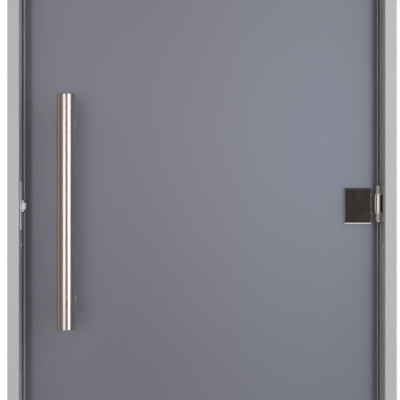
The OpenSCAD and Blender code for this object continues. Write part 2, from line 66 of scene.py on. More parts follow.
silver_light = "#bababa"
silver_dark = "#ababac"
silver_patch = 220 * mm
draw_line_width = 0.7 * mm  # wider than the die's real lines, so that they show
draw_line_length = 400 * mm
draw_line_share = 0.55
etch_speck = 1.2 * mm  # coarser than the real etch, for the same reason
etch_depth = 0.02 * mm
mitre_line = 0.35 * mm


def linear(hex_colour):
    """An sRGB hex colour as the linear RGBA that a shader socket takes."""
    channels = [int(hex_colour[i:i + 2], 16) / 255 for i in (1, 3, 5)]
    return [c / 12.92 if c <= 0.04045 else ((c + 0.055) / 1.055) ** 2.4 for c in channels] + [1]


def add(tree, kind, values=(), links=(), **settings):
    """Adds a node with its settings, the values of its sockets, and its links."""
    node = tree.nodes.new("ShaderNode" + kind)
    for name, value in settings.items():
        setattr(node, name, value)
    for socket, value in dict(values).items():
        node.inputs[socket].default_value = value
    for socket, source in dict(links).items():
        tree.links.new(source, node.inputs[socket])
    return node


def new_finish(name, metallic=0.0, roughness=0.5):
    """A new material. Returns it, its node tree and its Principled shader."""
    material = bpy.data.materials.new(name)
    material.use_nodes = True
    shader = material.node_tree.nodes["Principled BSDF"]
    shader.inputs["Metallic"].default_value = metallic
    shader.inputs["Roughness"].default_value = roughness
    return material, material.node_tree, shader


def grain(tree, coord, size, detail=3.0):
    """Noise whose grains are size = (x, y, z) metres long along each axis."""
    spread = add(tree, "Mapping", {"Scale": [1 / s for s in size]}, {"Vector": coord})
    return add(
        tree, "TexNoise", {"Scale": 1.0, "Detail": detail}, {"Vector": spread.outputs[0]}
    ).outputs["Fac"]


def dress(names, material):
    """Gives CAD nodes their finish."""
    for name in names:
        frame["nodes"][name].material_slots[0].material = material


def anodised_aluminium(name, along):
    """Matt silver with a soft sheen, and faint lines along the draw of the extrusion."""
    material, tree, shader = new_finish(name, metallic=0.3, roughness=0.5)
    coord = add(tree, "TexCoord").outputs["Object"]
    line = [draw_line_width] * 3
    line["XYZ".index(along)] = draw_line_length
    lines = grain(tree, coord, line)
    cloud = grain(tree, coord, [silver_patch] * 3, detail=2.0)
    speck = grain(tree, coord, [etch_speck] * 3, detail=1.0)
    tone = add(tree, "Math", {1: draw_line_share}, {0: lines}, operation="MULTIPLY")
    tone = add(
        tree, "Math", {1: 1 - draw_line_share}, {0: cloud, 2: tone.outputs[0]},
        operation="MULTIPLY_ADD",
    )
    colour = add(
        tree, "MixRGB", {"Color1": linear(silver_dark), "Color2": linear(silver_light)},
        {"Fac": tone.outputs[0]},
    )

    # The mitre is a dark hairline at 45 degrees across each corner, where the distance from
    # the frame's side equals the distance from its nearer end
    place = add(tree, "SeparateXYZ", links={0: coord})
    side = add(tree, "Math", links={0: place.outputs["X"]}, operation="ABSOLUTE")
    side = add(tree, "Math", {0: cad_high.x}, {1: side.outputs[0]}, operation="SUBTRACT")
    top = add(tree, "Math", {0: cad_high.z}, {1: place.outputs["Z"]}, operation="SUBTRACT")
    end = add(
        tree, "Math", links={0: place.outputs["Z"], 1: top.outputs[0]}, operation="MINIMUM"
    )
    gap = add(
        tree, "Math", links={0: side.outputs[0], 1: end.outputs[0]}, operation="SUBTRACT"
    )
    gap = add(tree, "Math", links={0: gap.outputs[0]}, operation="ABSOLUTE")
    seam = add(
        tree, "MapRange",
        {"From Min": 0.4 * mitre_line, "From Max": mitre_line, "To Min": 0.25, "To Max": 1.0},
        {"Value": gap.outputs[0]},
    )
    colour = add(
        tree, "MixRGB", {"Fac": 1.0},
        {"Color1": colour.outputs[0], "Color2": seam.outputs[0]}, blend_type="MULTIPLY",
    )
    tree.links.new(colour.outputs[0], shader.inputs["Base Color"])

    rough = add(tree, "MapRange", {"To Min": 0.45, "To Max": 0.56}, {"Value": lines})
    tree.links.new(rough.outputs[0], shader.inputs["Roughness"])
    relief = add(tree, "Bump", {"Strength": 0.35, "Distance": etch_depth}, {"Height": lines})
    relief = add(
        tree, "Bump", {"Strength": 0.25, "Distance": etch_depth},
        {"Height": speck, "Normal": relief.outputs[0]},
    )
    tree.links.new(relief.outputs[0], shader.inputs["Normal"])
    return material


upright_silver = anodised_aluminium("satin_anodised_aluminium_upright", "Z")
crosswise_silver = anodised_aluminium("satin_anodised_aluminium_crosswise", "X")
dress(["lock_jamb", "hinge_jamb"], upright_silver)
dress(["head", "threshold"], crosswise_silver)


# ---- Corner cleats ---------------------------------------------------------------------
# Short lengths of an L-shaped aluminium extrusion, left as sawn and pressed. They sit
# inside the profile and show only where it is open.

cleat_colour = "#9c9d9f"
saw_pitch = 1.2 * mm
saw_length = 12 * mm
saw_depth = 0.05 * mm


def mill_aluminium():
    """Uncoated aluminium: dull grey with saw marks a millimetre or so apart."""
    material, tree, shader = new_finish("mill_finish_aluminium", metallic=1.0, roughness=0.45)
    coord = add(tree, "TexCoord").outputs["Object"]
    marks = grain(tree, coord, (saw_length, saw_pitch, saw_length))
    shader.inputs["Base Color"].default_value = linear(cleat_colour)
    relief = add(tree, "Bump", {"Strength": 0.4, "Distance": saw_depth}, {"Height": marks})
    tree.links.new(relief.outputs[0], shader.inputs["Normal"])
    return material


dress(["corner_cleats"], mill_aluminium())


# ---- Door stops ------------------------------------------------------------------------
# A smaller hollow extrusion of the same anodised aluminium, mitred too and fixed inside
# the frame on the room side. The glass closes towards it.

dress(["lock_stop", "hinge_stop"], upright_silver)
dress(["head_stop", "threshold_stop"], crosswise_silver)


# ---- Seals -----------------------------------------------------------------------------
# A hollow bulb of extruded black EPDM rubber, with its root pressed into the groove of
# each door stop. The glass shuts against the bulb, and a flat wing of the same rubber
# lies on the stop outside it, where it shows as a dark line past the edge of the glass.

seal_colour = "#252527"
seal_bloom = "#333336"
bloom_patch = 18 * mm
pore_size = 0.8 * mm
pore_depth = 0.1 * mm


def epdm_rubber():
    """Dull black rubber with a grey bloom in patches and a finely pored skin."""
    material, tree, shader = new_finish("extruded_epdm_rubber", roughness=0.72)
    coord = add(tree, "TexCoord").outputs["Object"]
    bloom = grain(tree, coord, [bloom_patch] * 3)
    pores = grain(tree, coord, [pore_size] * 3)
    colour = add(
        tree, "MixRGB", {"Color1": linear(seal_colour), "Color2": linear(seal_bloom)},
        {"Fac": bloom},
    )
    tree.links.new(colour.outputs[0], shader.inputs["Base Color"])
    relief = add(tree, "Bump", {"Strength": 0.3, "Distance": pore_depth}, {"Height": pores})
    tree.links.new(relief.outputs[0], shader.inputs["Normal"])
    return material


rubber = epdm_rubber()
dress(["lock_seal", "hinge_seal", "head_seal", "threshold_seal"], rubber)

wing_t = 0.8 * mm
wing_reach = 4.5 * mm
wing_round = 0.25 * mm
smooth_under = math.radians(35)


def only(piece):
    """Makes piece the one selected and active object, out of edit mode."""
    if bpy.context.mode != "OBJECT":
        bpy.ops.object.mode_set(mode="OBJECT")
    bpy.ops.object.select_all(action="DESELECT")
    piece.select_set(True)
    bpy.context.view_layer.objects.active = piece


def edit_faces(piece, wanted):
    """Goes into edit mode with just the faces selected for which wanted(face) is true."""
    only(piece)
    bpy.ops.object.mode_set(mode="EDIT")
    bpy.ops.mesh.select_mode(type="FACE")
    bpy.ops.mesh.select_all(action="DESELECT")
    bpy.ops.object.mode_set(mode="OBJECT")
    for face in piece.data.polygons:
        face.select = wanted(face)
    bpy.ops.object.mode_set(mode="EDIT")


# One ring for all four stops: a plane on their front faces, opened in the middle, pulled
# out to the wing's thickness and rounded
stop_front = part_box("lock_stop")[0].y
foot_low, foot_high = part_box("hinge_seal")
bpy.ops.mesh.primitive_plane_add(
    size=1, location=(0, stop_front, (foot_low.z + foot_high.z) / 2),
    rotation=(math.pi / 2, 0, 0),
)
wings = bpy.context.active_object
wings.name = "seal_wings"
wings.scale = (2 * (foot_high.x + wing_reach), foot_high.z - foot_low.z + 2 * wing_reach, 1)
bpy.ops.object.transform_apply(location=True, rotation=True, scale=True)
edit_faces(wings, lambda face: True)
bpy.ops.mesh.inset(thickness=wing_reach)
bpy.ops.mesh.delete(type="FACE")
bpy.ops.mesh.select_all(action="SELECT")
bpy.ops.mesh.extrude_region_move(TRANSFORM_OT_translate={"value": (0, -wing_t, 0)})
bpy.ops.mesh.select_all(action="SELECT")
bpy.ops.mesh.normals_make_consistent(inside=False)
bpy.ops.object.mode_set(mode="OBJECT")
modifier = wings.modifiers.new("rounded", "BEVEL")
modifier.width = wing_round
modifier.segments = 2
modifier.limit_method = "ANGLE"
bpy.ops.object.modifier_apply(modifier=modifier.name)
bpy.ops.object.shade_smooth_by_angle(angle=smooth_under)
wings.data.materials.append(rubber)
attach(wings, "frame")


# ---- Wall screws -----------------------------------------------------------------------
# Three stainless screws in each jamb hold the frame to the wall. Their low round heads
# with a cross recess lie on the inner side of the jamb, clear of the closing glass, and
# their shanks are shown only inside the jamb.

wall_head_r = 4.8 * mm
wall_head_h = 1.5 * mm
wall_head_edge = 0.8 * mm
wall_screw_r = 2.4 * mm
wall_screw_l = 17 * mm
wall_screw_turn = 0.5  # radians, from the recess of one screw to that of the next
screw_colour = "#dddbd8"
scuff_size = 1.5 * mm
scuff_depth = 0.03 * mm


def stainless_screw():
    """Plain stainless steel as screws leave the tumbler: bright, with small scuffs."""
    material, tree, shader = new_finish("stainless_screw_steel", metallic=0.85, roughness=0.4)
    coord = add(tree, "TexCoord").outputs["Object"]
    scuff = grain(tree, coord, [scuff_size] * 3)
    shader.inputs["Base Color"].default_value = linear(screw_colour)
    rough = add(tree, "MapRange", {"To Min": 0.34, "To Max": 0.48}, {"Value": scuff})
    tree.links.new(rough.outputs[0], shader.inputs["Roughness"])
    relief = add(tree, "Bump", {"Strength": 0.3, "Distance": scuff_depth}, {"Height": scuff})
    tree.links.new(relief.outputs[0], shader.inputs["Normal"])
    return material


screw_steel = stainless_screw()


def faces_up(face):
    """Whether a face looks towards +Z."""
    return face.normal.z > 0.9


def faces_down(face):
    """Whether a face looks towards -Z."""
    return face.normal.z < -0.9


def cut(piece, cutter):
    """Takes the cutter's shape out of the piece, and the cutter away."""
    only(piece)
    modifier = piece.modifiers.new("cut", "BOOLEAN")
    modifier.object = cutter
    modifier.solver = "EXACT"
    bpy.ops.object.modifier_apply(modifier=modifier.name)
    bpy.data.objects.remove(cutter)


def cross_recess(piece, radius, depth, width):
    """Cuts a cross recess, whose two blades narrow towards its bottom, into a head at z = 0."""
    taper = 0.45
    for turn in (0, math.pi / 2):
        bpy.ops.mesh.primitive_cube_add(
            size=1, location=(0, 0, 0), rotation=(0, 0, turn),
            scale=(2 * radius, width, 2 * depth),
        )
        blade = bpy.context.active_object
        edit_faces(blade, faces_down)
        bpy.ops.transform.resize(value=(taper, taper, 1))
        cut(piece, blade)


def hex_socket(piece, across_flats, depth):
    """Cuts a hexagon socket into a head at z = 0."""
    bpy.ops.mesh.primitive_cylinder_add(
        vertices=6, radius=across_flats / math.sqrt(3), depth=2 * depth, location=(0, 0, 0)
    )
    cut(piece, bpy.context.active_object)


def put(model, name, at, towards, turn, body):
    """Copies a model, whose head faces +Z with its top at the origin, to a place on a body."""
    only(model)
    bpy.ops.object.duplicate()
    piece = bpy.context.active_object
    piece.name = name
    # Its own offset goes into its mesh first, so that it turns about its head
    bpy.ops.object.transform_apply(location=True, rotation=True, scale=True)
    piece.location = at
    piece.rotation_mode = "QUATERNION"
    facing = Vector(towards).to_track_quat("Z", "Y")
    piece.rotation_quaternion = facing @ Quaternion((0, 0, 1), turn)
    bpy.ops.object.transform_apply(location=True, rotation=True, scale=True)
    bpy.ops.object.shade_smooth_by_angle(angle=smooth_under)
    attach(piece, body)


def low_head_screw():
    """A screw with a low round head, whose top is at z = 0."""
    bpy.ops.mesh.primitive_cylinder_add(
        vertices=40, radius=wall_head_r, depth=wall_head_h, location=(0, 0, -wall_head_h / 2)
    )
    screw = bpy.context.active_object
    edit_faces(screw, faces_up)
    bpy.ops.mesh.bevel(offset=wall_head_edge, segments=4, affect="EDGES")
    edit_faces(screw, faces_down)
    bpy.ops.mesh.inset(thickness=wall_head_r - wall_screw_r)
    bpy.ops.mesh.extrude_region_move(TRANSFORM_OT_translate={"value": (0, 0, -wall_screw_l)})
    bpy.ops.object.mode_set(mode="OBJECT")
    cross_recess(screw, radius=2.6 * mm, depth=1.2 * mm, width=1.0 * mm)
    screw.data.materials.append(screw_steel)
    return screw


wall_screw = low_head_screw()
mounts = {mount["name"]: mount for mount in frame["record"]["mounts"]}
for side, inwards in (("lock", 1), ("hinge", -1)):
    low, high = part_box(f"{side}_jamb")
    reveal_x = high.x if inwards > 0 else low.x
    pattern = mounts[f"{side}_jamb_fixings"]
    middle_y, middle_z = pattern["pos_m"][1:]
    pitch = pattern["dims"]["spacing_y_mm"] * mm / 2
    for step, where in enumerate(("lower", "middle", "upper")):
        put(
            wall_screw, f"{side}_jamb_{where}_screw",
            (reveal_x + inwards * wall_head_h, middle_y, middle_z + (step - 1) * pitch),
            (inwards, 0, 0), wall_screw_turn * step, "frame",
        )
bpy.data.objects.remove(wall_screw)


# ---- Glass leaf ------------------------------------------------------------------------
# One sheet of 8 mm toughened grey glass, satin etched so that it blurs what is behind it.
# Its edges are ground to a small arris, and it hangs on the hinges' clamp plates.

glass_dark = "#8b8b97"
glass_light = "#8d8d99"
ground_edge = "#e6e9f0"
tint_patch = 350 * mm
glass_grain = 1.1 * mm  # coarser than the real etch, so that it shows
glass_grain_depth = 0.02 * mm
arris_reach = 1.6 * mm  # a little wider than the real arris, for the same reason


def etched_glass():
    """Acid-etched glass: a silky, even blur with a faint grain, grey with a touch of violet.
    Its ground edges are a paler, duller line."""
    material, tree, shader = new_finish("satin_etched_grey_glass", roughness=0.65)
    shader.inputs["IOR"].default_value = 1.52
    coord = add(tree, "TexCoord").outputs["Object"]
    cloud = grain(tree, coord, [tint_patch] * 3, detail=1.0)
    colour = add(
        tree, "MixRGB", {"Color1": linear(glass_dark), "Color2": linear(glass_light)},
        {"Fac": cloud},
    )

    # The arris lies within a couple of millimetres of the sheet's edges
    low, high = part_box("glass_leaf")
    middle = (low + high) / 2
    place = add(tree, "SeparateXYZ", links={0: coord})
    insets = []
    for axis, centre, edge in (("X", middle.x, high.x), ("Z", middle.z, high.z)):
        off = add(tree, "Math", {1: centre}, {0: place.outputs[axis]}, operation="SUBTRACT")
        off = add(tree, "Math", links={0: off.outputs[0]}, operation="ABSOLUTE")
        insets.append(
            add(tree, "Math", {0: edge - centre}, {1: off.outputs[0]}, operation="SUBTRACT")
        )
    inset = add(
        tree, "Math", links={0: insets[0].outputs[0], 1: insets[1].outputs[0]},
        operation="MINIMUM",
    )
    ground = add(
        tree, "MapRange",
        {"From Min": 0.6 * arris_reach, "From Max": arris_reach, "To Min": 1, "To Max": 0},
        {"Value": inset.outputs[0]},
    )
    colour = add(
        tree, "MixRGB", {"Color2": linear(ground_edge)},
        {"Fac": ground.outputs[0], "Color1": colour.outputs[0]},
    )
    tree.links.new(colour.outputs[0], shader.inputs["Base Color"])
    clear = add(tree, "MapRange", {"To Min": 0.8, "To Max": 0.3}, {"Value": ground.outputs[0]})
    tree.links.new(clear.outputs[0], shader.inputs["Transmission Weight"])
    etch = grain(tree, coord, [glass_grain] * 3, detail=2.0)
    relief = add(
        tree, "Bump", {"Strength": 0.08, "Distance": glass_grain_depth}, {"Height": etch}
    )
    tree.links.new(relief.outputs[0], shader.inputs["Normal"])
    return material


dress(["glass_leaf"], etched_glass())


# ---- Hinges ----------------------------------------------------------------------------
# Three stainless steel barrel hinges. A satin leaf on the jamb carries the two end knuckles,
# and one of the two polished plates that clamp the glass carries the middle one. Washers
# run between the knuckles on a fixed pin, and fibre pads part the steel from the glass.

HINGES = ("upper", "middle", "lower")
polish_colour = "#cfcac6"
satin_colour = "#aaa6a3"
wipe_width = 9 * mm
wipe_length = 30 * mm
wipe_depth = 0.1 * mm


def wiped_stainless(name, colour, metallic, roughness):
    """Stainless steel with a faint haze of wiping marks, which vary its roughness."""
    material, tree, shader = new_finish(name, metallic=metallic)
    shader.inputs["Base Color"].default_value = linear(colour)
    coord = add(tree, "TexCoord").outputs["Object"]
    wipe = grain(tree, coord, (wipe_width, wipe_width, wipe_length), detail=4.0)
    rough = add(
        tree, "MapRange", {"To Min": roughness[0], "To Max": roughness[1]}, {"Value": wipe}
    )
    tree.links.new(rough.outputs[0], shader.inputs["Roughness"])
    relief = add(tree, "Bump", {"Strength": 0.12, "Distance": wipe_depth}, {"Height": wipe})
    tree.links.new(relief.outputs[0], shader.inputs["Normal"])
    return material


polished = wiped_stainless(
    "polished_stainless_steel", polish_colour, metallic=1.0, roughness=(0.06, 0.2)
)
satin = wiped_stainless(
    "satin_stainless_steel", satin_colour, metallic=0.6, roughness=(0.42, 0.55)
)
for hinge in HINGES:
    dress([f"{hinge}_hinge_front_plate", f"{hinge}_hinge_back_plate"], polished)
    dress([f"{hinge}_hinge_leaf"], satin)

pin_colour = "#c9c6c2"
pin_ring_pitch = 0.6 * mm  # coarser than the lathe leaves, so that the rings show
turned_length = 60 * mm
turned_depth = 0.02 * mm


def turned_stainless(name, colour, along, ring_pitch, metallic, roughness):
    """Stainless steel fresh from the lathe: rings about ring_pitch apart along its axis."""
    material, tree, shader = new_finish(name, metallic=metallic)
    shader.inputs["Base Color"].default_value = linear(colour)
    coord = add(tree, "TexCoord").outputs["Object"]
    ring = [turned_length] * 3
    ring["XYZ".index(along)] = ring_pitch
    rings = grain(tree, coord, ring, detail=2.0)
    rough = add(
        tree, "MapRange", {"To Min": roughness[0], "To Max": roughness[1]}, {"Value": rings}
    )
    tree.links.new(rough.outputs[0], shader.inputs["Roughness"])
    relief = add(tree, "Bump", {"Strength": 0.25, "Distance": turned_depth}, {"Height": rings})
    tree.links.new(relief.outputs[0], shader.inputs["Normal"])
    return material


pin_steel = turned_stainless(
    "turned_stainless_steel", pin_colour, "Z", pin_ring_pitch,
    metallic=1.0, roughness=(0.16, 0.26),
)
dress([f"{hinge}_hinge_pin" for hinge in HINGES], pin_steel)

washer_dark = "#aca7a4"
washer_light = "#c2bdb9"
peel_size = 1.2 * mm
peel_depth = 0.15 * mm


def tumbled_washer():
    """Washers tumbled until their edges are round: pale, satin and a little uneven."""
    material, tree, shader = new_finish("tumbled_stainless_steel", metallic=0.4, roughness=0.42)
    coord = add(tree, "TexCoord").outputs["Object"]
    peel = grain(tree, coord, [peel_size] * 3)
    colour = add(
        tree, "MixRGB", {"Color1": linear(washer_dark), "Color2": linear(washer_light)},
        {"Fac": peel},
    )
    tree.links.new(colour.outputs[0], shader.inputs["Base Color"])
    relief = add(tree, "Bump", {"Strength": 0.6, "Distance": peel_depth}, {"Height": peel})
    tree.links.new(relief.outputs[0], shader.inputs["Normal"])
    return material


dress([f"{hinge}_hinge_washers" for hinge in HINGES], tumbled_washer())

pad_dark = "#1f1f20"
pad_light = "#343436"
fibre_length = 2 * mm
fibre_width = 0.5 * mm
fibre_depth = 0.1 * mm


def fibre_pad():
    """Pressed black gasket fibre between steel and glass."""
    material, tree, shader = new_finish("black_gasket_fibre", roughness=0.8)
    coord = add(tree, "TexCoord").outputs["Object"]
    fibres = grain(tree, coord, (fibre_length, fibre_length, fibre_width))
    colour = add(
        tree, "MixRGB", {"Color1": linear(pad_dark), "Color2": linear(pad_light)},
        {"Fac": fibres},
    )
    tree.links.new(colour.outputs[0], shader.inputs["Base Color"])
    relief = add(tree, "Bump", {"Strength": 0.5, "Distance": fibre_depth}, {"Height": fibres})
    tree.links.new(relief.outputs[0], shader.inputs["Normal"])
    return material


dress([f"{hinge}_hinge_pads" for hinge in HINGES], fibre_pad())


# ---- Hinge screws ----------------------------------------------------------------------
# Countersunk screws with a cross recess hold each leaf to the jamb. Countersunk socket
# screws go in from the room side, through the glass, and draw the clamp plates together.

leaf_t = 2 * mm
leaf_head_r = 4.1 * mm
leaf_head_h = 1.6 * mm
leaf_shank_r = 1.7 * mm
leaf_screw_l = 14 * mm
leaf_screw_back = 7 * mm  # in from the leaf's room side
leaf_screw_end = 8 * mm  # in from its top and bottom
leaf_screw_turn = 0.4
clamp_head_r = 6.0 * mm
clamp_head_h = 2.8 * mm
clamp_shank_r = 2.5 * mm
clamp_screw_l = 21 * mm
clamp_socket = 4 * mm
clamp_pitch = 34 * mm
clamp_screw_turn = 0.3
head_sunk = 0.1 * mm


def countersunk_screw(head_r, shank_r, length, cone_h):
    """A countersunk screw whose flat head faces +Z with its face at z = 0."""
    rim = 0.15 * mm
    bpy.ops.mesh.primitive_cylinder_add(
        vertices=40, radius=shank_r, depth=length - cone_h - rim,
        location=(0, 0, -(length + cone_h + rim) / 2),
    )
    screw = bpy.context.active_object
    edit_faces(screw, faces_up)
    bpy.ops.mesh.extrude_region_move(TRANSFORM_OT_translate={"value": (0, 0, cone_h)})
    bpy.ops.transform.resize(value=(head_r / shank_r, head_r / shank_r, 1))
    bpy.ops.mesh.extrude_region_move(TRANSFORM_OT_translate={"value": (0, 0, rim)})
    edit_faces(screw, faces_down)
    bpy.ops.mesh.bevel(offset=shank_r / 2, segments=1, affect="EDGES")
    bpy.ops.object.mode_set(mode="OBJECT")
    screw.data.materials.append(screw_steel)
    return screw


leaf_screw = countersunk_screw(leaf_head_r, leaf_shank_r, leaf_screw_l, leaf_head_h)
cross_recess(leaf_screw, radius=2.0 * mm, depth=1.1 * mm, width=0.8 * mm)
for hinge in HINGES:
    low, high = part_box(f"{hinge}_hinge_leaf")
    for step, where in ((-1, "lower"), (1, "upper")):
        end_z = low.z + leaf_screw_end if step < 0 else high.z - leaf_screw_end
        put(
            leaf_screw, f"{hinge}_hinge_leaf_{where}_screw",
            (high.x - leaf_t + head_sunk, high.y - leaf_screw_back, end_z),
            (-1, 0, 0), leaf_screw_turn * step, "frame",
        )
bpy.data.objects.remove(leaf_screw)

clamp_screw = countersunk_screw(clamp_head_r, clamp_shank_r, clamp_screw_l, clamp_head_h)
hex_socket(clamp_screw, clamp_socket, depth=2.2 * mm)
for hinge in HINGES:
    low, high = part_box(f"{hinge}_hinge_back_plate")
    middle = (low + high) / 2
    for step, where in ((-1, "lower"), (1, "upper")):
        put(
            clamp_screw, f"{hinge}_hinge_clamp_{where}_screw",
            (middle.x, high.y - head_sunk, middle.z + step * clamp_pitch / 2),
            (0, 1, 0), clamp_screw_turn * step, "leaf",
        )
bpy.data.objects.remove(clamp_screw)


# ---- Handles ---------------------------------------------------------------------------
# A pair of stainless steel tubes, 32 mm across and brushed round their length, stand back
# to back on the glass. Each is welded to two turned posts.

HANDLES = ("outer", "inner")
brush_dark = "#b6aaa4"
brush_light = "#cdc2bb"
brush_line = 0.6 * mm  # coarser than real scratches, so that they show
brush_length = 300 * mm
brush_depth = 0.05 * mm
brush_patch = 70 * mm


def brushed_stainless():
    """Satin stainless steel: fine scratches round the tube that smear a light up and down."""
    material, tree, shader = new_finish("brushed_stainless_steel", metallic=1.0)
    coord = add(tree, "TexCoord").outputs["Object"]
    lines = grain(tree, coord, (brush_length, brush_length, brush_line), detail=4.0)
    patches = grain(tree, coord, [brush_patch] * 3, detail=2.0)
    colour = add(
        tree, "MixRGB", {"Color1": linear(brush_dark), "Color2": linear(brush_light)},
        {"Fac": lines},
    )
    tree.links.new(colour.outputs[0], shader.inputs["Base Color"])
    rough = add(tree, "MapRange", {"To Min": 0.285, "To Max": 0.31}, {"Value": patches})
    tree.links.new(rough.outputs[0], shader.inputs["Roughness"])
    relief = add(tree, "Bump", {"Strength": 0.6, "Distance": brush_depth}, {"Height": lines})
    tree.links.new(relief.outputs[0], shader.inputs["Normal"])
    return material


dress([f"{side}_handle" for side in HANDLES], brushed_stainless())

post_colour = "#b4aca7"
post_ring_pitch = 2.5 * mm  # coarser than the lathe leaves, so that the rings show
post_steel = turned_stainless(
    "turned_post_steel", post_colour, "Y", post_ring_pitch, metallic=0.5, roughness=(0.4, 0.5)
)
dress([f"{side}_posts" for side in HANDLES], post_steel)


# ---- Handle fixings --------------------------------------------------------------------
# Translucent nylon grommets keep the steel off the glass, and threaded studs run through
# them from post to post. A small grub screw under each inner post locks it on its stud.

nylon_dark = "#cdd0cf"
nylon_light = "#e4e6e4"
nylon_patch = 4 * mm
post_r = 9 * mm
grub_r = 2.5 * mm
grub_l = 4 * mm
grub_edge = 0.3 * mm
grub_socket = 2.5 * mm
grub_proud = 0.15 * mm
grub_from_foot = 14 * mm


def clear_nylon():
    """Milky, slightly shiny nylon that lets a little light through."""
    material, tree, shader = new_finish("translucent_nylon", roughness=0.35)
    coord = add(tree, "TexCoord").outputs["Object"]
    haze = grain(tree, coord, [nylon_patch] * 3)
    colour = add(
        tree, "MixRGB", {"Color1": linear(nylon_dark), "Color2": linear(nylon_light)},
        {"Fac": haze},
    )
    tree.links.new(colour.outputs[0], shader.inputs["Base Color"])
    shader.inputs["Transmission Weight"].default_value = 0.35
    return material


dress(["handle_grommets"], clear_nylon())
dress(["handle_studs"], screw_steel)


def socket_grub():
    """A grub screw whose end with the hexagon socket faces +Z, at z = 0."""
    bpy.ops.mesh.primitive_cylinder_add(
        vertices=32, radius=grub_r, depth=grub_l, location=(0, 0, -grub_l / 2)
    )
    screw = bpy.context.active_object
    edit_faces(screw, faces_up)
    bpy.ops.mesh.bevel(offset=grub_edge, segments=2, affect="EDGES")
    bpy.ops.object.mode_set(mode="OBJECT")
    hex_socket(screw, grub_socket, depth=1.8 * mm)
    screw.data.materials.append(screw_steel)
    return screw


grub_screw = socket_grub()
post_low, post_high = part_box("inner_posts")
foot_r = (post_high.x - post_low.x) / 2
for where, post_z in (("lower", post_low.z + foot_r), ("upper", post_high.z - foot_r)):
    put(
        grub_screw, f"inner_post_{where}_grub_screw",
        (post_low.x + foot_r, post_low.y + grub_from_foot, post_z - post_r - grub_proud),
        (0, 0, -1), 0, "leaf",
    )
bpy.data.objects.remove(grub_screw)


# ---- Roller catch ----------------------------------------------------------------------
# A nickel-plated face plate let into the lock jamb, with a zinc-plated case behind it. A
# sprung fork in the case carries a grey acetal roller that holds the glass shut. Two
# countersunk screws hold the plate.

nickel_dark = "#d6d8dd"
nickel_light = "#e2e4e8"
nickel_patch = 3 * mm
zinc_dark = "#9aa0a8"
zinc_light = "#b4b2a6"
zinc_patch = 5 * mm
plating_depth = 0.03 * mm


def plated_steel(name, dark, light, patch, roughness):
    """Electroplated steel: slightly cloudy, in patches of the given size."""
    material, tree, shader = new_finish(name, metallic=0.5, roughness=roughness)
    coord = add(tree, "TexCoord").outputs["Object"]
    cloud = grain(tree, coord, [patch] * 3, detail=4.0)
    colour = add(
        tree, "MixRGB", {"Color1": linear(dark), "Color2": linear(light)}, {"Fac": cloud}
    )
    tree.links.new(colour.outputs[0], shader.inputs["Base Color"])
    spread = 0.08
    rough = add(
        tree, "MapRange", {"To Min": roughness - spread, "To Max": roughness + spread},
        {"Value": cloud},
    )
    tree.links.new(rough.outputs[0], shader.inputs["Roughness"])
    relief = add(tree, "Bump", {"Strength": 0.2, "Distance": plating_depth}, {"Height": cloud})
    tree.links.new(relief.outputs[0], shader.inputs["Normal"])
    return material


nickel = plated_steel(
    "satin_nickel_plate", nickel_dark, nickel_light, nickel_patch, roughness=0.45
)
zinc = plated_steel("bright_zinc_plate", zinc_dark, zinc_light, zinc_patch, roughness=0.4)
dress(["catch_face_plate", "catch_fork", "catch_axle"], nickel)
dress(["catch_case"], zinc)

acetal_dark = "#d3d5de"
acetal_light = "#e2e4ec"
roller_ring_pitch = 0.7 * mm  # coarser than the lathe leaves, so that the rings show
roller_ring_length = 30 * mm
roller_ring_depth = 0.05 * mm


def turned_acetal():
    """Light grey acetal with a slight shine and the fine rings that the lathe leaves."""
    material, tree, shader = new_finish("turned_grey_acetal", roughness=0.32)
    coord = add(tree, "TexCoord").outputs["Object"]
    ring = (roller_ring_length, roller_ring_length, roller_ring_pitch)
    rings = grain(tree, coord, ring, detail=2.0)
    colour = add(
        tree, "MixRGB", {"Color1": linear(acetal_dark), "Color2": linear(acetal_light)},
        {"Fac": rings},
    )
    tree.links.new(colour.outputs[0], shader.inputs["Base Color"])
    relief = add(
        tree, "Bump", {"Strength": 0.3, "Distance": roller_ring_depth}, {"Height": rings}
    )
    tree.links.new(relief.outputs[0], shader.inputs["Normal"])
    return material


dress(["catch_roller"], turned_acetal())

face_head_r = 3.2 * mm
face_head_h = 1.3 * mm
face_shank_r = 1.4 * mm
face_screw_l = 12 * mm
face_screw_end = 9 * mm
face_screw_turn = 0.6
face_head_sunk = 0.05 * mm

face_screw = countersunk_screw(face_head_r, face_shank_r, face_screw_l, face_head_h)
cross_recess(face_screw, radius=2.2 * mm, depth=1.2 * mm, width=0.9 * mm)
low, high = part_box("catch_face_plate")
for where, screw_z in (("lower", low.z + face_screw_end), ("upper", high.z - face_screw_end)):
    put(
        face_screw, f"catch_{where}_screw",
        (high.x - face_head_sunk, (low.y + high.y) / 2, screw_z),
        (1, 0, 0), face_screw_turn, "frame",
    )
bpy.data.objects.remove(face_screw)


# ---- Floor -----------------------------------------------------------------------------
# A pale matt floor, which takes the door's shadow and fades to white further out. Metal
# doesn't mirror it: it mirrors a white card that lies under the door in the floor's place,
# and that nothing else sees.

floor_size = 6.0
floor_colour = "#f2f2f2"
fade_start = 0.9
fade_end = 2.6
bounce_size = 1.6
bounce_ahead = 0.55
bounce_below = 2 * mm
bounce_colour = "#fbfbff"
bounce_level = 0.95

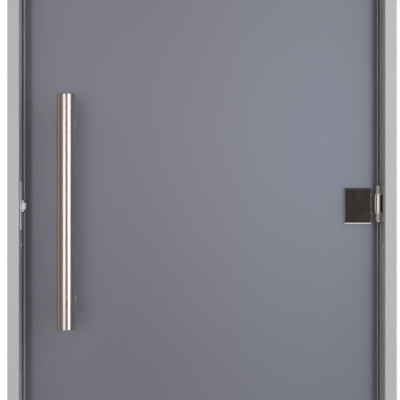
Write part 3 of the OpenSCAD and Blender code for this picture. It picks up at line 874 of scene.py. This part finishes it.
bpy.ops.mesh.primitive_plane_add(size=floor_size, location=(0, 0, 0))
floor = bpy.context.active_object
floor.name = "floor"
material, tree, shader = new_finish("pale_studio_floor", roughness=0.85)
shader.inputs["Base Color"].default_value = linear(floor_colour)
coord = add(tree, "TexCoord").outputs["Object"]
reach = add(tree, "VectorMath", links={0: coord}, operation="LENGTH")
fade = add(
    tree, "MapRange", {"From Min": fade_start, "From Max": fade_end},
    {"Value": reach.outputs["Value"]}, interpolation_type="SMOOTHSTEP",
)
white = add(tree, "Emission", {"Color": linear("#ffffff"), "Strength": 1.0})
camera_ray = add(tree, "LightPath").outputs["Is Camera Ray"]
faded = add(tree, "Math", links={0: fade.outputs[0], 1: camera_ray}, operation="MULTIPLY")
blend = add(
    tree, "MixShader", links={0: faded.outputs[0], 1: shader.outputs[0], 2: white.outputs[0]}
)
tree.links.new(blend.outputs[0], tree.nodes["Material Output"].inputs["Surface"])
floor.data.materials.append(material)
floor.visible_glossy = False


def stage_card(name, size, location, rotation, only_for):
    """A card of even white glow that only one kind of ray sees. Returns its node tree and
    the node of its glow."""
    bpy.ops.mesh.primitive_plane_add(size=size, location=location, rotation=rotation)
    card = bpy.context.active_object
    card.name = name
    bpy.ops.object.transform_apply(location=True, rotation=True, scale=True)
    for ray in ("camera", "diffuse", "glossy", "transmission", "volume_scatter", "shadow"):
        setattr(card, "visible_" + ray, ray == only_for)
    material, tree, shader = new_finish(name)
    glow = add(tree, "Emission", {"Color": linear("#ffffff"), "Strength": 1.0})
    tree.links.new(glow.outputs[0], tree.nodes["Material Output"].inputs["Surface"])
    card.data.materials.append(material)
    return tree, glow


tree, glow = stage_card(
    "bounce_card", bounce_size, (0, -bounce_ahead, -bounce_below), (0, 0, 0), "glossy"
)
glow.inputs["Color"].default_value = linear(bounce_colour)
glow.inputs["Strength"].default_value = bounce_level


# ---- Surround --------------------------------------------------------------------------
# The room round the door. The camera sees white, and so do rays that go in through the
# glass. Metal mirrors a room that is dark behind the camera, dim at the sides and above, and
# pale behind the door. Everything else gets a dim, even light.

mirrored_front = "#3e3837"
mirrored_left = "#8a817a"
mirrored_right = "#454343"
mirrored_behind = "#cdcdcd"
mirrored_above = "#595961"
plain_level = 0.24

world = bpy.data.worlds.new("studio_surround")
bpy.context.scene.world = world
world.use_nodes = True
tree = world.node_tree
tree.nodes.clear()

# The parts of each ray's direction, from -1 to 1
direction = add(tree, "SeparateXYZ", links={0: add(tree, "TexCoord").outputs["Generated"]})
sideways = direction.outputs["X"]
forward = direction.outputs["Y"]
upward = direction.outputs["Z"]

side_share = add(
    tree, "MapRange", {"From Min": -0.97, "From Max": -0.8}, {"Value": forward},
    interpolation_type="SMOOTHSTEP",
)
right_share = add(tree, "MapRange", {"From Min": -0.7, "From Max": 0.7}, {"Value": sideways})
sides = add(
    tree, "MixRGB", {"Color1": linear(mirrored_left), "Color2": linear(mirrored_right)},
    {"Fac": right_share.outputs[0]},
)
mirrored = add(
    tree, "MixRGB", {"Color1": linear(mirrored_front)},
    {"Fac": side_share.outputs[0], "Color2": sides.outputs[0]},
)
behind_share = add(
    tree, "MapRange", {"From Min": -0.1, "From Max": 0.35}, {"Value": forward},
    interpolation_type="SMOOTHSTEP",
)
mirrored = add(
    tree, "MixRGB", {"Color2": linear(mirrored_behind)},
    {"Fac": behind_share.outputs[0], "Color1": mirrored.outputs[0]},
)
above_share = add(
    tree, "MapRange", {"From Min": 0.35, "From Max": 0.75}, {"Value": upward},
    interpolation_type="SMOOTHSTEP",
)
mirrored = add(
    tree, "MixRGB", {"Color2": linear(mirrored_above)},
    {"Fac": above_share.outputs[0], "Color1": mirrored.outputs[0]},
)

path = add(tree, "LightPath")
light = add(
    tree, "MixRGB", {"Color1": [plain_level] * 3 + [1]},
    {"Fac": path.outputs["Is Glossy Ray"], "Color2": mirrored.outputs[0]},
)

# A ray through the glass finds white only where it heads into the room
inwards = add(tree, "Math", {1: 0.0}, {0: forward}, operation="GREATER_THAN")
inwards = add(
    tree, "Math", links={0: inwards.outputs[0], 1: path.outputs["Is Transmission Ray"]},
    operation="MULTIPLY",
)
light = add(
    tree, "MixRGB", {"Color2": linear("#ffffff")},
    {"Fac": inwards.outputs[0], "Color1": light.outputs[0]},
)
light = add(
    tree, "MixRGB", {"Color2": linear("#ffffff")},
    {"Fac": path.outputs["Is Camera Ray"], "Color1": light.outputs[0]},
)
surround = add(tree, "Background", {"Strength": 1.0}, {"Color": light.outputs[0]})
add(tree, "OutputWorld", links={"Surface": surround.outputs[0]})


# ---- Graded card -----------------------------------------------------------------------
# A glowing card behind the door, which shows only as a soft light through the etched pane:
# brightest at eye height towards the hinges, warmer and dimmer away from there, and dim
# again past the leaf's hinge edge.

card_size = 2.2
card_behind = 0.3
card_height = 1.15
card_warm = "#d4cdcd"
card_cool = "#eefcfe"
warm_x = -0.2
cool_x = 0.35
foot_z = 0.45
foot_level = 0.6
knee_z = 1.1
eye_z = 1.05
eye_level = 1.3
head_z = 1.6
leaf_edge_x = 0.33
past_edge_x = 0.42
past_edge_level = 0.45

tree, glow = stage_card(
    "graded_card", card_size, (0, card_behind, card_height), (math.pi / 2, 0, 0), "transmission"
)
place = add(tree, "SeparateXYZ", links={0: add(tree, "TexCoord").outputs["Object"]})
cool_share = add(
    tree, "MapRange", {"From Min": warm_x, "From Max": cool_x}, {"Value": place.outputs["X"]},
    interpolation_type="SMOOTHSTEP",
)
tone = add(
    tree, "MixRGB", {"Color1": linear(card_warm), "Color2": linear(card_cool)},
    {"Fac": cool_share.outputs[0]},
)
low_level = add(
    tree, "MapRange",
    {"From Min": foot_z, "From Max": knee_z, "To Min": foot_level, "To Max": 1.0},
    {"Value": place.outputs["Z"]}, interpolation_type="SMOOTHSTEP",
)
high_level = add(
    tree, "MapRange",
    {"From Min": eye_z, "From Max": head_z, "To Min": eye_level, "To Max": 1.0},
    {"Value": place.outputs["Z"]}, interpolation_type="SMOOTHSTEP",
)
side_level = add(
    tree, "MapRange",
    {"From Min": leaf_edge_x, "From Max": past_edge_x, "To Min": 1.0, "To Max": past_edge_level},
    {"Value": place.outputs["X"]}, interpolation_type="SMOOTHSTEP",
)
level = add(
    tree, "Math", links={0: low_level.outputs[0], 1: high_level.outputs[0]},
    operation="MULTIPLY",
)
level = add(
    tree, "Math", links={0: level.outputs[0], 1: side_level.outputs[0]},
    operation="MULTIPLY",
)
tree.links.new(tone.outputs[0], glow.inputs["Color"])
tree.links.new(level.outputs[0], glow.inputs["Strength"])


# ---- Lamps -----------------------------------------------------------------------------
# Two soft lamps in front show as the bright strips on the tubes, and a fill lamp high on the
# left, which metal doesn't mirror, lights the jambs. Two more behind the door light its room
# side, and the glass doesn't pass their light on.

lamp_distance = 2.9
lamp_aim_height = 0.95
handle_low, handle_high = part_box("outer_handle")
aim = (handle_low + handle_high) / 2
aim.z = lamp_aim_height

# Each lamp's bearing in degrees from straight in front, rise over the aim, size and watts
for name, bearing, rise, width, height, watts in (
    ("left_lamp", -15, 0.05, 1.4, 1.5, 19),
    ("right_lamp", 45, 0.64, 1.5, 2.8, 53),
    ("fill_lamp", -62, 1.4, 1.2, 1.2, 29),
    ("back_left_lamp", -148, 0.6, 1.2, 2.4, 21),
    ("back_right_lamp", 152, 0.6, 1.2, 2.4, 27),
):
    turn = math.radians(bearing)
    stand = aim + lamp_distance * Vector((math.sin(turn), -math.cos(turn), 0))
    stand.z += rise
    bpy.ops.object.light_add(type="AREA", location=stand)
    lamp = bpy.context.active_object
    lamp.name = name
    lamp.rotation_mode = "QUATERNION"
    lamp.rotation_quaternion = (aim - stand).to_track_quat("-Z", "Y")
    lamp.data.shape = "RECTANGLE"
    lamp.data.size = width
    lamp.data.size_y = height
    lamp.data.energy = watts
    lamp.visible_camera = False
    lamp.visible_glossy = name != "fill_lamp"
    lamp.visible_transmission = not name.startswith("back")


# ---- Camera ----------------------------------------------------------------------------
# A long lens, level and straight in front of the frame at the height of the handle's middle,
# and a few millimetres to the left of the frame's middle.

eye_height = 955.8 * mm
eye_distance = 2200 * mm
eye_left = 3.6 * mm
sensor_width = 36
lens_length = 111.8

frame_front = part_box("head")[0].y
bpy.ops.object.camera_add(
    location=(-eye_left, frame_front - eye_distance, eye_height),
    rotation=(math.pi / 2, 0, 0),
)
camera = bpy.context.active_object
camera.data.sensor_width = sensor_width
camera.data.lens = lens_length
bpy.context.scene.camera = camera
bpy.context.scene.view_settings.view_transform = "Standard"
